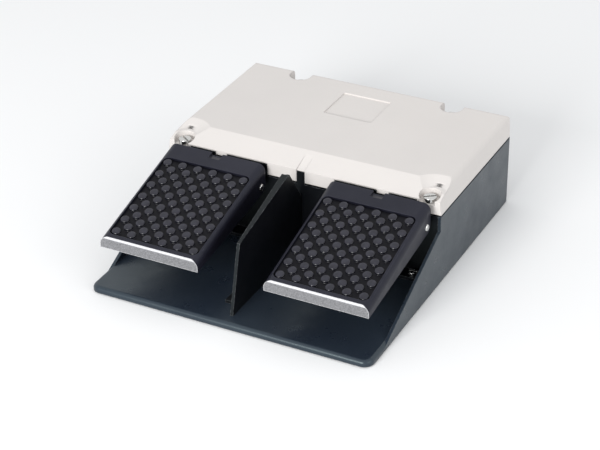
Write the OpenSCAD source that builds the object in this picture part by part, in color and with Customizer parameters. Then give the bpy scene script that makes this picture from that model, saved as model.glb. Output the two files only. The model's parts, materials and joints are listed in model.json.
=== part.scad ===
// Two-pedal industrial foot switch: sheet-steel base, cast cover, moulded pedals,
// each pedal working a pushrod and a snap switch behind the bulkhead.
// Millimetres, +Z up, +Y away from the operator, origin under the middle of the base.
// Inside place() positions run from the base's front edge and its lower edge.

/* [Base] */
// Outside width of base and cover
base_w = 240; // [232:1:280]
// Outside depth from front lip to back wall
base_d = 273; // [266:1:310]
// Height of the rear box walls
base_h = 60; // [59:0.5:64]
// Sheet thickness of base, bulkhead and divider
sheet_t = 2.5; // [2:0.1:2.8]
// Height of the floor's upper face
floor_h = 5; // [4.5:0.1:6]
// Plan radius of the floor's front corners
floor_corner_r = 8; // [6:0.5:12]
// Outer bend radius of the lip round the floor
lip_bend_r = 3.5; // [3:0.1:4]
// Plan radius of the base's rear corners
base_corner_r = 3.5; // [2.6:0.1:5]
// Distance of the bulkhead behind the front edge
bulkhead_y = 127; // [125:0.5:130]
// Where the sloping side edge meets the lower edge
slope_start = 20.5; // [15:0.5:30]
// Height of the side wall where its slope ends
knee_h = 47.5; // [42:0.5:52]
// Inward width of the rim that carries the gasket
rim_w = 12.5; // [12:0.1:14]
// How far the rubber feet stand below the lower edge
foot_proud = 1; // [0.6:0.1:3]
// Diameter of a rubber foot
foot_d = 24; // [16:1:30]
// Distance of the feet from the outside faces
foot_inset = 22; // [18:1:30]
// Diameter of the two floor fixing holes
fixing_d = 6.6; // [5.5:0.1:9]
// Distance of the fixing holes behind the front edge
fixing_y = 75; // [65:1:85]

/* [Cover] */
// Compressed thickness of the gasket
gasket_t = 1.5; // [1:0.1:2.5]
// Inset of the gasket's outer edge, which leaves a shadow line
gasket_inset = 1.2; // [0.8:0.1:2]
// Height of the cover above its lower edge
cover_h = 18; // [17:0.5:22]
// Wall thickness of the cover
cover_t = 3; // [2.5:0.1:3.5]
// Height of the cover's front wall
cover_front_h = 11; // [10.5:0.1:12]
// Depth of the sloping facet behind the front wall
facet_d = 21; // [18:0.5:26]
// Inward lean of each side of the cover
cover_draft = 1.5; // [0.5:0.1:2.5]
// Radius of the cover's upper side and rear edges
cover_edge_r = 4.5; // [3:0.1:6]
// Plan radius of the cover's rear corners
cover_corner_r = 4; // [2:0.5:6]
// Distance of the front cover screws from the outside faces
front_screw_side = 12; // [11.5:0.1:12.5]
// Sideways distance of the rear cover screws from the middle
rear_screw_x = 70; // [50:1:95]
// Distance of the rear screws in front of the back face
rear_screw_in = 8; // [7.5:0.1:9]
// Distance of the front screws behind the front wall
front_screw_in = 6; // [5.8:0.1:7]
// Radius of the front screw pockets
front_pocket_r = 8.6; // [7:0.1:9]
// Radius, at the top, of the conical dip round each front pocket
brow_r = 21; // [14:0.5:23]
// Radius of the rear screw notches
rear_pocket_r = 9.5; // [7:0.1:10]
// Height of the pocket floors above the cover's lower edge
pocket_floor = 7.5; // [6.5:0.1:8.5]
// Width of the square label recess
label_w = 43; // [30:1:60]
// Depth, front to back, of the label recess
label_l = 40; // [30:1:50]
// Depth of the label recess below the surface
label_depth = 1; // [0.5:0.1:1.5]
// Distance of the label recess's middle in front of the back face
label_in = 42; // [35:1:50]
// Width of the locating slot in the middle of the front
slot_w = 7.2; // [6:0.1:9]

/* [Divider] */
// Distance of the divider's front foot behind the front edge
divider_front = 10.7; // [9:0.1:16]
// Height of the divider's front corner
divider_front_h = 61; // [55:0.5:64]
// Distance of that corner behind the front edge
divider_knee_y = 25; // [20:0.5:32]
// Height of the divider's rear corner
divider_rear_h = 80; // [74:0.5:84]
// Distance of the rear corner behind the front edge
divider_rear_y = 105.5; // [100:0.5:108]
// Width of the stiffening flange at its rear end
divider_flange = 5.6; // [4:0.1:8]

/* [Pedals] */
// Distance of each pedal's middle from the outside face
pedal_side = 49; // [48.5:0.5:50]
// Width of a pedal
pedal_w = 86; // [82:0.5:87]
// Length of a pedal ahead of its axle
pedal_front = 103.3; // [98:0.1:104]
// Length of a pedal behind its axle
pedal_back = 6.9; // [5:0.1:8]
// Resting slope of the pedal's tread, in degrees
pedal_tilt = 14.5; // [13.5:0.1:15.5]
// Distance of the tread plane from the axle
pedal_rise = 14.9; // [14.4:0.1:16]
// Height of the pedal's front face
pedal_nose_h = 9.3; // [8:0.1:11]
// Wall thickness of the pedal's skirts
pedal_t = 3; // [2.5:0.1:3.5]
// Thickness of the pedal's top outside the tread
pedal_top_t = 4; // [3.6:0.1:4.2]
// Outer radius between the pedal's top and its skirts
pedal_edge_r = 6; // [4:0.1:7]
// Rounding of the pedal's upper front edge
pedal_nose_r = 2.2; // [1:0.1:3]
// Travel of a pedal from rest to its stop, in degrees
travel = 12; // [10:0.5:12]

/* [Tread] */
// Distance between neighbouring pips of one row
pip_pitch = 13.7; // [12:0.1:13.8]
// Number of pips in a long row
pips_across = 6; // [5:1:6]
// Number of long rows, with a short row between each two
long_rows = 7; // [4:1:7]
// Diameter of a pip
pip_d = 7.6; // [6:0.1:9]
// Height of a pip
pip_h = 2; // [1.2:0.1:2]
// Edge rounding of a pip
pip_edge_r = 0.7; // [0.3:0.1:1]
// Thickness of the tread mat below the pips
mat_t = 1; // [0.8:0.1:1.4]
// Margin of the mat round the outer pips
mat_margin = 1; // [0.6:0.1:1.2]
// Distance of the mat's front edge behind the pedal's front face
mat_front = 5.4; // [5:0.1:7]

/* [Hinge] */
// Distance of the axles in front of the bulkhead
axle_in = 13; // [12.8:0.1:13.4]
// Height of the axles above the lower edge
axle_z = 56.5; // [56:0.1:57.5]
// Diameter of an axle
axle_d = 6; // [5:0.1:6.4]
// How far each axle end stands out of its pedal
axle_end = 1; // [0.4:0.1:1.4]
// Radius of the pedal's bosses round its axle
boss_r = 6.4; // [5.8:0.1:6.8]
// Outside width of a hinge bracket
bracket_w = 42; // [41:0.5:43]
// Sheet thickness of a hinge bracket
bracket_t = 2.5; // [2:0.1:2.8]
// Radius of a bracket ear round the axle
ear_r = 9; // [8:0.1:9.4]
// Wire diameter of the return springs
spring_wire = 1.8; // [1.4:0.1:2]
// Coils of a return spring
spring_turns = 5; // [3:1:5]

/* [Pushrods] */
// Distance of the pushrod axis below the axle
rod_drop = 20; // [19:0.5:21]
// Diameter of a pushrod
rod_d = 6; // [5:0.1:7]
// Diameter of a pushrod's head
rod_head_d = 12; // [10:0.5:14]
// Thickness of a pushrod's head
rod_head_t = 3; // [2:0.1:3.2]
// Radius of the lever nose that pushes the rod
nose_r = 4; // [3:0.1:4.5]

/* [Switches] */
// Width of a switch block
block_w = 36; // [34:0.5:42]
// Length of a switch block
block_l = 46; // [45:0.5:50]
// Distance of the blocks behind the bulkhead
block_in = 25; // [24:0.5:30]
// Width of the channel that guides the slider
channel_w = 10; // [9:0.1:11]
// Distance of the mounting rail's ends from the outside faces
rail_end = 15; // [12:0.5:25]

/* [Cable entry] */
// Bore of the M20 entry thread
entry_bore_d = 18.5; // [16:0.1:20]
// Height of the entry's middle above the lower edge
entry_z = 33; // [30:1:38]
// Length of the threaded insert
entry_l = 8.5; // [7:0.1:12]

/* [Fits] */
// Radial clearance of shafts that turn or slide in bushes
running = 0.05; // [0.02:0.01:0.08]
// Gap between faces that move past or rest against each other
gap = 0.3; // [0.2:0.05:0.4]

/* [Hidden] */
$fn = 48;

eps = 0.01;
half_w = base_w / 2;
pedal_x = half_w - pedal_side;
front_screw_x = half_w - front_screw_side;
rail_l = base_w - 2 * rail_end;
contact_gap = 0.1;
cover_z = base_h + gasket_t;
bulkhead_back = bulkhead_y + sheet_t;
axle_y = bulkhead_y - axle_in;
rod_z = axle_z - rod_drop;

// Colours
paint_black = [0.16, 0.17, 0.18];
cover_grey = [0.86, 0.85, 0.83];
pedal_black = [0.14, 0.14, 0.16];
rubber_black = [0.08, 0.08, 0.08];
zinc = [0.78, 0.79, 0.80];
brass = [0.80, 0.66, 0.35];
switch_grey = [0.30, 0.31, 0.33];
slider_white = [0.90, 0.90, 0.86];

// ---------- Helpers ----------

// From the front edge and lower edge of the base to the part's own frame
module place() translate([0, -base_d / 2, foot_proud]) children();

// Extrude an outline drawn in (Y, Z) along X, about x = 0
module along_x(width) rotate([90, 0, 90]) linear_extrude(height = width, center = true) children();

// Extrude an outline drawn in (X, Z) along +Y
module along_y(length) translate([0, length, 0]) rotate([90, 0, 0]) linear_extrude(height = length) children();

// Turn an outline of (radius, length) about an axis that runs along +Y
module turned_y() rotate([-90, 0, 0]) rotate_extrude() children();

// Turn an outline of (radius, length) about an axis that runs along +X
module turned_x() rotate([0, 90, 0]) rotate_extrude() children();

// Rectangle with rounded corners, about the origin
module round_rect(w, l, r) {
  square([w - 2 * r, l], center = true);
  square([w, l - 2 * r], center = true);
  for (x = [-1, 1], y = [-1, 1])
    translate([x * (w / 2 - r), y * (l / 2 - r)]) circle(r);
}

// Slotted screw with a cheese head; z = 0 is the seat of the head
module slotted_screw(d, length, head_d, head_h) {
  slot_width = 0.16 * head_d;
  difference() {
    rotate_extrude() {
      square([head_d / 2, head_h - 0.6]);
      square([head_d / 2 - 0.6, head_h]);
      translate([head_d / 2 - 0.6, head_h - 0.6]) circle(0.6);
    }
    translate([0, 0, head_h]) cube([head_d + 1, slot_width, 0.9 * head_h], center = true);
  }
  translate([0, 0, -length]) cylinder(d = d - 2 * running, h = length);
}

// Both pedal positions
module both_sides() for (side = [-1, 1]) translate([side * pedal_x, 0, 0]) children();

// Frame of one pedal's axle; side is -1 for the left pedal and 1 for the right
module at_axle(side) place() translate([side * pedal_x, axle_y, axle_z]) children();

// Frame of one pushrod, with y = 0 on the bulkhead's front face
module at_rod(side) place() translate([side * pedal_x, bulkhead_y, rod_z]) children();

// Tube of round wire along a list of points; ref is never parallel to the wire
function unit(v) = v / norm(v);
function tangent(path, i) = unit(path[min(i + 1, len(path) - 1)] - path[max(i - 1, 0)]);
function wire_ring(c, t, ref, r, sides) =
  let (u = unit(cross(t, ref)), v = cross(t, u))
  [for (k = [0:sides - 1]) c + r * (cos(360 * k / sides) * u + sin(360 * k / sides) * v)];
module wire(path, d, ref) {
  sides = 8;
  n = len(path);
  points = [for (i = [0:n - 1]) each wire_ring(path[i], tangent(path, i), ref, d / 2, sides)];
  walls = [for (i = [0:n - 2], k = [0:sides - 1])
    let (a = i * sides + k, b = i * sides + (k + 1) % sides)
    each [[a, a + sides, b + sides], [a, b + sides, b]]];
  first_cap = [for (k = [0:sides - 1]) k];
  last_cap = [for (k = [sides - 1:-1:0]) (n - 1) * sides + k];
  polyhedron(points = points, faces = concat(walls, [first_cap, last_cap]));
}

// ---------- Base ----------

lip_w = floor_corner_r;
under_z = floor_h - sheet_t;
wall_slope = knee_h / (bulkhead_y - slope_start);
box_y = bulkhead_back;
rim_z = base_h - sheet_t;

// Section of the bent lip: x runs inward from the outer edge
module lip_section() {
  difference() {
    union() {
      square([lip_w, floor_h - lip_bend_r]);
      translate([lip_bend_r, 0]) square([lip_w - lip_bend_r, floor_h]);
      translate([lip_bend_r, floor_h - lip_bend_r]) circle(lip_bend_r);
    }
    translate([sheet_t, -lip_bend_r]) square([lip_w, under_z + lip_bend_r]);
    translate([-lip_bend_r, -2 * lip_bend_r]) square([3 * lip_bend_r, 2 * lip_bend_r]);
  }
}

// Plan from a given front edge to the back wall, with rounded rear corners
module plan(front, r) {
  translate([-base_w / 2, front]) square([base_w, base_d - front - r]);
  translate([-base_w / 2 + r, front]) square([base_w - 2 * r, base_d - front]);
  for (side = [-1, 1]) translate([side * (base_w / 2 - r), base_d - r]) circle(r);
}

module side_wall_outline() polygon([
  [slope_start, 0], [bulkhead_y, knee_h], [bulkhead_y, base_h], [base_d, base_h], [base_d, 0]]);

module floor_pan() {
  side_lip_end = slope_start + floor_h / wall_slope + lip_w;
  translate([-half_w + lip_w, 0, 0]) rotate([90, 0, 90])
    linear_extrude(height = base_w - 2 * lip_w) lip_section();
  for (side = [-1, 1]) {
    translate([side * (half_w - lip_w), lip_w, 0])
      rotate([0, 0, side > 0 ? -90 : 180])
        rotate_extrude(angle = 90) translate([lip_w, 0]) mirror([1, 0]) lip_section();
    translate([0, lip_w, 0]) along_y(side_lip_end - lip_w)
      mirror([side > 0 ? 1 : 0, 0]) translate([-half_w, 0]) lip_section();
  }
  translate([-half_w + sheet_t, lip_w, under_z])
    cube([base_w - 2 * sheet_t, base_d - lip_w - sheet_t, sheet_t]);
}

module gasket_screw_holes(r, z0, h) {
  for (side = [-1, 1]) {
    translate([side * front_screw_x, bulkhead_y + front_screw_in, z0]) cylinder(r = r, h = h);
    translate([side * rear_screw_x, base_d - rear_screw_in, z0]) cylinder(r = r, h = h);
  }
}

cover_screw_d = 6;
rail_y = bulkhead_back + block_in + block_l / 2;
rail_screw_x = 30;
rail_screw_d = 5;
earth_x = 40;
earth_y = base_d - 20;
earth_d = 5;
entry_flange_d = 30;
bulkhead_foot_w = 12;
foot_screw_y = bulkhead_y - bulkhead_foot_w / 2;
foot_screw_x = [-half_w + 20, -pedal_x + pedal_w / 2 + 1, pedal_x - pedal_w / 2 - 1, half_w - 20];
foot_screw_d = 4;
divider_foot_w = 12;
divider_screw_y = [35, 95];
divider_screw_x = -(divider_foot_w / 2 + sheet_t / 2);

module base_tray() color(paint_black) place() {
  difference() {
    intersection() {
      translate([0, 0, -1]) linear_extrude(height = base_h + 2) plan(0, base_corner_r);
      union() {
      floor_pan();
      for (side = [-1, 1]) {
        translate([side * (half_w - sheet_t / 2), 0, 0]) along_x(sheet_t) side_wall_outline();
        translate([side > 0 ? half_w - rim_w : -half_w, box_y, rim_z])
          cube([rim_w, base_d - box_y, sheet_t]);
      }
      translate([-half_w, base_d - sheet_t, 0]) cube([base_w, sheet_t, base_h]);
      translate([-half_w, base_d - rim_w, rim_z]) cube([base_w, rim_w, sheet_t]);
      }
    }
    gasket_screw_holes(cover_screw_d / 2, rim_z - 1, sheet_t + 2);
    translate([0, base_d - sheet_t - 1, entry_z])
      turned_y() square([entry_bore_d / 2 + 2, sheet_t + 2]);
    both_sides() translate([0, fixing_y, under_z - 1]) cylinder(d = fixing_d, h = sheet_t + 2);
    for (side = [-1, 1]) translate([side * rail_screw_x, rail_y, under_z - 1])
      cylinder(d = rail_screw_d, h = sheet_t + 2);
    translate([earth_x, earth_y, under_z - 1]) cylinder(d = earth_d, h = sheet_t + 2);
    for (x = foot_screw_x) translate([x, foot_screw_y, under_z - 1])
      cylinder(d = foot_screw_d, h = sheet_t + 2);
    for (y = divider_screw_y) translate([divider_screw_x, y, under_z - 1])
      cylinder(d = foot_screw_d, h = sheet_t + 2);
  }
}

// ---------- Bulkhead ----------

tab_in_x = pedal_x - 41;
tab_out_x = pedal_x + 28;
tab_h = 10.5;
tongue_w = 10;
tongue_h = 2.5;
window_gap = 0.5;

// Screw places of a hinge bracket, from the rod axis
bracket_screw_at = [for (x = [-13, 13], z = [-7, rod_drop - 3]) [x, z]];
bracket_screw_d = 5;
bush_d = 12;

// Outline in (X, Z): plate, a raised tab behind each pedal and a locating tab
module bulkhead_outline() {
  half_in = base_w / 2 - sheet_t;
  difference() {
    union() {
      translate([-half_in, floor_h]) square([2 * half_in, base_h - floor_h]);
      for (side = [-1, 1]) translate([side > 0 ? tab_in_x : -tab_out_x, floor_h])
        square([tab_out_x - tab_in_x, base_h + tab_h - floor_h]);
      translate([-slot_w / 2 + 0.4, floor_h]) square([slot_w - 0.8, cover_z + cover_front_h - 1.2 - floor_h]);
    }
    for (side = [-1, 1])
      translate([side * pedal_x - tongue_w / 2 - window_gap, base_h + tab_h - tongue_h - window_gap])
        square([tongue_w + 2 * window_gap, tongue_h + 1]);
  }
}

module bulkhead() color(paint_black) place() {
  half_in = base_w / 2 - sheet_t;
  difference() {
    union() {
      translate([0, bulkhead_y, 0]) along_y(sheet_t) bulkhead_outline();
      translate([-base_w / 2 + rim_w, bulkhead_back, rim_z])
        cube([base_w - 2 * rim_w, rim_w, sheet_t]);
      for (side = [-1, 1]) translate([side > 0 ? sheet_t / 2 : -half_in, bulkhead_y - bulkhead_foot_w, floor_h])
        cube([half_in - sheet_t / 2, bulkhead_foot_w, sheet_t]);
    }
    gasket_screw_holes(cover_screw_d / 2, rim_z - 1, sheet_t + 2);
    both_sides() translate([0, bulkhead_y - 1, rod_z]) {
      turned_y() square([bush_d / 2, sheet_t + 2]);
      for (at = bracket_screw_at) translate([at[0], 0, at[1]])
        turned_y() square([bracket_screw_d / 2, sheet_t + 2]);
    }
    for (x = foot_screw_x) translate([x, foot_screw_y, floor_h - 1])
      cylinder(d = foot_screw_d, h = sheet_t + 2);
    translate([-divider_foot_w - sheet_t, bulkhead_y - bulkhead_foot_w - 1, floor_h - 1])
      cube([divider_foot_w + sheet_t + 1, bulkhead_foot_w + 1, sheet_t + 2]);
  }
}

module bulkhead_screws() color(zinc) place()
  for (x = foot_screw_x) translate([x, foot_screw_y, floor_h + sheet_t])
    slotted_screw(foot_screw_d, 2 * sheet_t, 7, 2.4);

// ---------- Divider ----------

divider_rear_slope = 0.68;

module divider_outline() {
  foot = floor_h;
  back_at = bulkhead_y;
  back_h = divider_rear_h - (back_at - divider_rear_y) / divider_rear_slope;
  r = 2;
  difference() {
    polygon([[divider_front, foot], [divider_knee_y, divider_front_h],
             [divider_rear_y, divider_rear_h], [back_at, back_h], [back_at, foot]]);
    translate([divider_rear_y, divider_rear_h]) rotate(-20) square([r, 2 * r], center = true);
  }
}

module centre_divider() color(paint_black) place() {
  top_slope = atan2(divider_rear_h - divider_front_h, divider_rear_y - divider_knee_y);
  top_l = norm([divider_rear_h - divider_front_h, divider_rear_y - divider_knee_y]);
  difference() {
    union() {
      along_x(sheet_t) divider_outline();
      translate([0, divider_knee_y, divider_front_h]) rotate([top_slope, 0, 0])
        translate([0, 0, -sheet_t]) linear_extrude(height = sheet_t)
          polygon([[sheet_t / 2, 1], [sheet_t / 2, top_l - 1.5],
                   [sheet_t / 2 - divider_flange, top_l - 1.5], [-sheet_t / 2, 1]]);
      translate([-divider_foot_w - sheet_t / 2, divider_knee_y, floor_h])
        cube([divider_foot_w + eps, bulkhead_y - divider_knee_y, sheet_t]);
    }
    for (y = divider_screw_y) translate([divider_screw_x, y, floor_h - 1])
      cylinder(d = foot_screw_d, h = sheet_t + 2);
  }
}

module divider_screws() color(zinc) place()
  for (y = divider_screw_y) translate([divider_screw_x, y, floor_h + sheet_t])
    slotted_screw(foot_screw_d, 2 * sheet_t, 7, 2.4);

// ---------- Cover ----------

top_z = cover_h;
brow_h = 4;
brow_run = 3;
seal_y = bulkhead_back + 0.7;

// Outline across the cover, z from its lower edge; inset gives the inner face
module cover_across(inset) {
  half = base_w / 2 - inset;
  r = cover_edge_r - min(inset, cover_edge_r - 1);
  top_half = half - cover_draft;
  top = top_z - inset;
  polygon([[-half, -inset], [half, -inset], [half, 0], [top_half, top - r], [top_half - r, top],
           [-top_half + r, top], [-top_half, top - r], [-half, 0]]);
  for (side = [-1, 1]) translate([side * (top_half - r), top - r]) circle(r);
}

// Outline along the cover
module cover_along(inset) {
  back = base_d - inset;
  r = cover_edge_r - min(inset, cover_edge_r - 1);
  top = top_z - inset;
  polygon([[bulkhead_y, -inset], [bulkhead_y, cover_front_h - inset],
           [bulkhead_y + facet_d, top], [back - r, top], [back, top - r], [back, -inset]]);
  translate([back - r, top - r]) circle(r);
}

module cover_form(inset) intersection() {
  translate([0, bulkhead_y - 1, 0]) along_y(base_d - bulkhead_y + 2) cover_across(inset);
  along_x(base_w + 2) cover_along(inset);
}

module cover() color(cover_grey) place() translate([0, 0, cover_z]) {
  window_top = base_h + tab_h + window_gap - cover_z;
  front_y = bulkhead_y + front_screw_in;
  back_y = base_d - rear_screw_in;
  ramp_l = 17;
  difference() {
    intersection() {
      cover_form(0);
      translate([0, 0, -1]) linear_extrude(height = cover_h + 2) plan(bulkhead_y, cover_corner_r);
    }
    // hollow inside, leaving the screw bosses
    difference() {
      intersection() {
        cover_form(cover_t);
        translate([-half_w, seal_y + cover_t, -cover_t - 1]) cube([base_w, base_d, cover_h + 10]);
      }
      for (side = [-1, 1]) {
        translate([side * front_screw_x, front_y, 0]) {
          cylinder(r = front_pocket_r + cover_t, h = cover_h);
          translate([side > 0 ? 0 : -2 * front_pocket_r, -front_pocket_r, 0])
            cube([2 * front_pocket_r, 2 * front_pocket_r + cover_t, cover_h]);
        }
        translate([side * rear_screw_x, back_y, 0]) {
          cylinder(r = rear_pocket_r + cover_t, h = cover_h);
          translate([-rear_pocket_r - cover_t, 0, 0])
            cube([2 * (rear_pocket_r + cover_t), rear_pocket_r + cover_t, cover_h]);
        }
      }
    }
    // channel in front of the seal wall for the bulkhead's raised tabs
    translate([-tab_out_x - window_gap, bulkhead_y - 1, -1])
      cube([tab_out_x - tab_in_x + 2 * window_gap, seal_y - bulkhead_y + 1, window_top + 1]);
    translate([tab_in_x - window_gap, bulkhead_y - 1, -1])
      cube([tab_out_x - tab_in_x + 2 * window_gap, seal_y - bulkhead_y + 1, window_top + 1]);
    // locating slot and the ramp above it
    translate([-slot_w / 2, bulkhead_y - 1, -1])
      cube([slot_w, seal_y - bulkhead_y + 1, cover_front_h]);
    along_x(slot_w) polygon([
      [bulkhead_y - 1, cover_front_h - 1.2], [bulkhead_y, cover_front_h - 1],
      [bulkhead_y + ramp_l, cover_front_h + ramp_l * (top_z - cover_front_h) / facet_d],
      [bulkhead_y + ramp_l, top_z + 2], [bulkhead_y - 1, top_z + 2]]);
    // screw pockets, open to the front and to the back
    for (side = [-1, 1]) {
      translate([side * front_screw_x, front_y, pocket_floor]) cylinder(r = front_pocket_r, h = cover_h);
      translate([side * rear_screw_x, back_y, pocket_floor]) cylinder(r = rear_pocket_r, h = cover_h);
      translate([side * rear_screw_x - rear_pocket_r, back_y, pocket_floor])
        cube([2 * rear_pocket_r, 2 * rear_screw_in, cover_h]);
    }
    // conical dip round each front pocket
    for (side = [-1, 1]) translate([side * (front_screw_x + 2), front_y + 3, top_z - brow_h])
      cylinder(r1 = brow_r - brow_run * brow_h, r2 = brow_r + brow_run, h = brow_h + 1);
    translate([0, 0, -cover_z]) gasket_screw_holes(cover_screw_d / 2 + gap, cover_z - 1, cover_h);
    // label recess
    translate([0, base_d - label_in, top_z - label_depth])
      linear_extrude(height = 2 * label_depth) round_rect(label_w, label_l, 1.5);
  }
  // tongue that drops into each raised tab's notch
  for (side = [-1, 1]) translate([side * pedal_x - tongue_w / 2, bulkhead_y, window_top - tongue_h])
    cube([tongue_w, sheet_t, tongue_h + 0.5]);
}

module cover_gasket() color(rubber_black) place() {
  out_w = base_w - 2 * gasket_inset;
  front = seal_y;
  out_l = base_d - gasket_inset - front;
  band = rim_w - gasket_inset - 0.8;
  difference() {
    translate([-out_w / 2, front, base_h]) cube([out_w, out_l, gasket_t]);
    translate([-out_w / 2 + band, front + band, base_h - 1])
      cube([out_w - 2 * band, out_l - 2 * band, gasket_t + 2]);
    gasket_screw_holes(cover_screw_d / 2 + gap, base_h - 1, gasket_t + 2);
  }
}

module cover_screws() color(zinc) place() translate([0, 0, cover_z + pocket_floor])
  for (side = [-1, 1]) {
    length = pocket_floor + gasket_t + sheet_t + 4;
    translate([side * front_screw_x, bulkhead_y + front_screw_in, 0])
      rotate(side * 35) slotted_screw(cover_screw_d, length, 10.5, 4);
    translate([side * rear_screw_x, base_d - rear_screw_in, 0])
      rotate(side * 20 + 15) slotted_screw(cover_screw_d, length, 10.5, 4);
  }

module rubber_feet() color(rubber_black) place()
  for (x = [-1, 1], y = [foot_inset, base_d - foot_inset])
    translate([x * (base_w / 2 - foot_inset), y, -foot_proud]) rotate_extrude() {
      square([foot_d / 2 - 1, under_z + foot_proud]);
      translate([0, 1]) square([foot_d / 2, under_z + foot_proud - 1]);
      translate([foot_d / 2 - 1, 1]) circle(1);
    }

// ---------- Hinge ----------

ear_in = bracket_w / 2 - bracket_t;
lever_w = 10;
plate_y = axle_in - bracket_t;
stop_rib_low = 6.5;
stop_y = -17;
pad_r = 12;
strap_t = 3;
strap_l = 12;

// Centre of the pad's dome: the stop rib's lower face, turned by the travel,
// passes it at pad_r and a small gap
pad_z = -(stop_rib_low + pad_r + 0.2 - stop_y * sin(travel)) / cos(travel);
pad_h = 3.5;
strap_z = pad_z + pad_r - pad_h - strap_t;

module ear_outline() {
  circle(ear_r);
  polygon([[0, ear_r], [axle_in, ear_r], [axle_in, -rod_drop - 12], [axle_in - 5, -rod_drop - 12],
           [stop_y - strap_l / 2, strap_z], [stop_y - strap_l / 2, strap_z + strap_t + 1.5],
           [-ear_r, -1]]);
}

module hinge_bracket(side) color(zinc) at_axle(side) difference() {
  union() {
    for (x = [-1, 1]) translate([x * (bracket_w - bracket_t) / 2, 0, 0])
      along_x(bracket_t) ear_outline();
    translate([-bracket_w / 2, plate_y, -rod_drop - 12])
      cube([bracket_w, bracket_t, rod_drop + 12 + ear_r]);
    translate([-bracket_w / 2, stop_y - strap_l / 2, strap_z]) cube([bracket_w, strap_l, strap_t]);
  }
  translate([-bracket_w / 2 - 1, 0, 0]) turned_x() square([bush_out_r, bracket_w + 2]);
  translate([0, plate_y - 1, -rod_drop]) {
    turned_y() square([bush_d / 2, bracket_t + 2]);
    for (at = bracket_screw_at) translate([at[0], 0, at[1]])
      turned_y() square([bracket_screw_d / 2, bracket_t + 2]);
  }
}

bush_wall = 1.45;
bush_out_r = axle_d / 2 + running + bush_wall;
bush_flange_t = 1;

module bearing_bush() turned_x() difference() {
  union() {
    square([bush_out_r, bracket_t + bush_flange_t]);
    translate([0, bracket_t]) square([bush_out_r + 2, bush_flange_t]);
  }
  translate([0, -1]) square([axle_d / 2 + running, bracket_t + bush_flange_t + 2]);
}

module bearing_bushes() color(brass) for (side = [-1, 1]) at_axle(side) for (x = [0, 1])
  mirror([x, 0, 0]) translate([ear_in, 0, 0]) bearing_bush();

module bracket_screws() color(zinc) for (side = [-1, 1]) at_rod(side)
  for (at = bracket_screw_at) translate([at[0], -bracket_t, at[1]])
    rotate([90, 0, 0]) slotted_screw(bracket_screw_d, bracket_t + sheet_t + 5, 8.5, 2.8);

module bracket_nuts() color(zinc) for (side = [-1, 1]) at_rod(side)
  for (at = bracket_screw_at) translate([at[0], sheet_t, at[1]]) rotate([-90, 0, 0]) difference() {
    cylinder(d = 9.2, h = 4, $fn = 6);
    translate([0, 0, -1]) cylinder(d = bracket_screw_d, h = 6);
  }

module stop_pads() color(rubber_black) for (side = [-1, 1]) at_axle(side)
  translate([0, stop_y, pad_z]) intersection() {
    sphere(pad_r);
    translate([0, 0, pad_r - pad_h]) cylinder(r = 5, h = pad_h + 1);
  }

// Torsion spring: front leg along the tread, coils round the axle, leg down to the plate
spring_r = axle_d / 2 + spring_wire / 2 + 1;
spring_pitch = spring_wire + 0.15;
front_leg = 15;
rear_leg_angle = 68;
rear_leg = (plate_y - 0.2 - spring_wire / 2 - spring_r * sin(rear_leg_angle)) / cos(rear_leg_angle);

function spring_path() =
  let (a0 = 90 + pedal_tilt, a1 = a0 - 360 * spring_turns - (a0 - 90 + rear_leg_angle) + 0,
       n = 14 * spring_turns,
       x0 = -spring_turns * spring_pitch / 2)
  concat(
    [[x0, spring_r * cos(a0) - front_leg * cos(pedal_tilt), spring_r * sin(a0) - front_leg * sin(pedal_tilt)]],
    [for (i = [0:n]) let (a = a0 + (a1 - a0) * i / n)
      [x0 + spring_pitch * spring_turns * i / n, spring_r * cos(a), spring_r * sin(a)]],
    [[-x0, spring_r * cos(a1) + rear_leg * sin(a1), spring_r * sin(a1) - rear_leg * cos(a1)]]);

spring_x = (lever_w / 2 + ear_in) / 2;
spring_leg_x = spring_x + spring_turns * spring_pitch / 2;

module return_springs(side) color(zinc) at_axle(side) for (x = [0, 1]) mirror([x, 0, 0])
  translate([-spring_x, 0, 0]) wire(spring_path(), spring_wire, [1, 0, 0]);

// ---------- Pedal ----------

mat_w = (pips_across - 1) * pip_pitch + pip_d + 2 * mat_margin;
mat_l = (long_rows - 1) * pip_pitch + pip_d + 2 * mat_margin;
mat_r = pip_d / 2 + mat_margin;
recess = mat_t + pip_h;
tread_s = -pedal_front / cos(pedal_tilt) + pedal_rise * tan(pedal_tilt) + mat_front + mat_l / 2;
under_mat = 2.5;
deep = pedal_w;
rib_t = 2;
rib_h = 12;
rib_x = pedal_w / 6;
rib_y = [-0.77, -0.53, -0.33];

// Height of the tread plane, less a depth, over the axle at distance y
function tread_at(y, depth = 0) = (pedal_rise - depth) / cos(pedal_tilt) + y * tan(pedal_tilt);

// Frame of the tread plane: y runs back along it, z stands on it
module on_tread() rotate([pedal_tilt, 0, 0]) translate([0, 0, pedal_rise]) children();

// Outline of the skirts in (Y, Z)
module skirt_outline() {
  front_top = tread_at(-pedal_front);
  corner_a = (90 + pedal_tilt) / 2;
  reach = pedal_nose_r / tan(corner_a);
  centre = [-pedal_front + pedal_nose_r, front_top + pedal_nose_r * tan(pedal_tilt) - pedal_nose_r / cos(pedal_tilt)];
  difference() {
    polygon([[-pedal_front, front_top], [-pedal_front, front_top - pedal_nose_h], [0, -boss_r],
             [boss_r, 0], [pedal_back, tread_at(pedal_back)]]);
    polygon([[-pedal_front - 1, front_top - reach], [-pedal_front, front_top - reach], centre,
             [-pedal_front + reach * cos(pedal_tilt), front_top + reach * sin(pedal_tilt)],
             [-pedal_front + reach, front_top + 2], [-pedal_front - 1, front_top + 2]]);
  }
  translate(centre) circle(pedal_nose_r);
  circle(boss_r);
}

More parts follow.
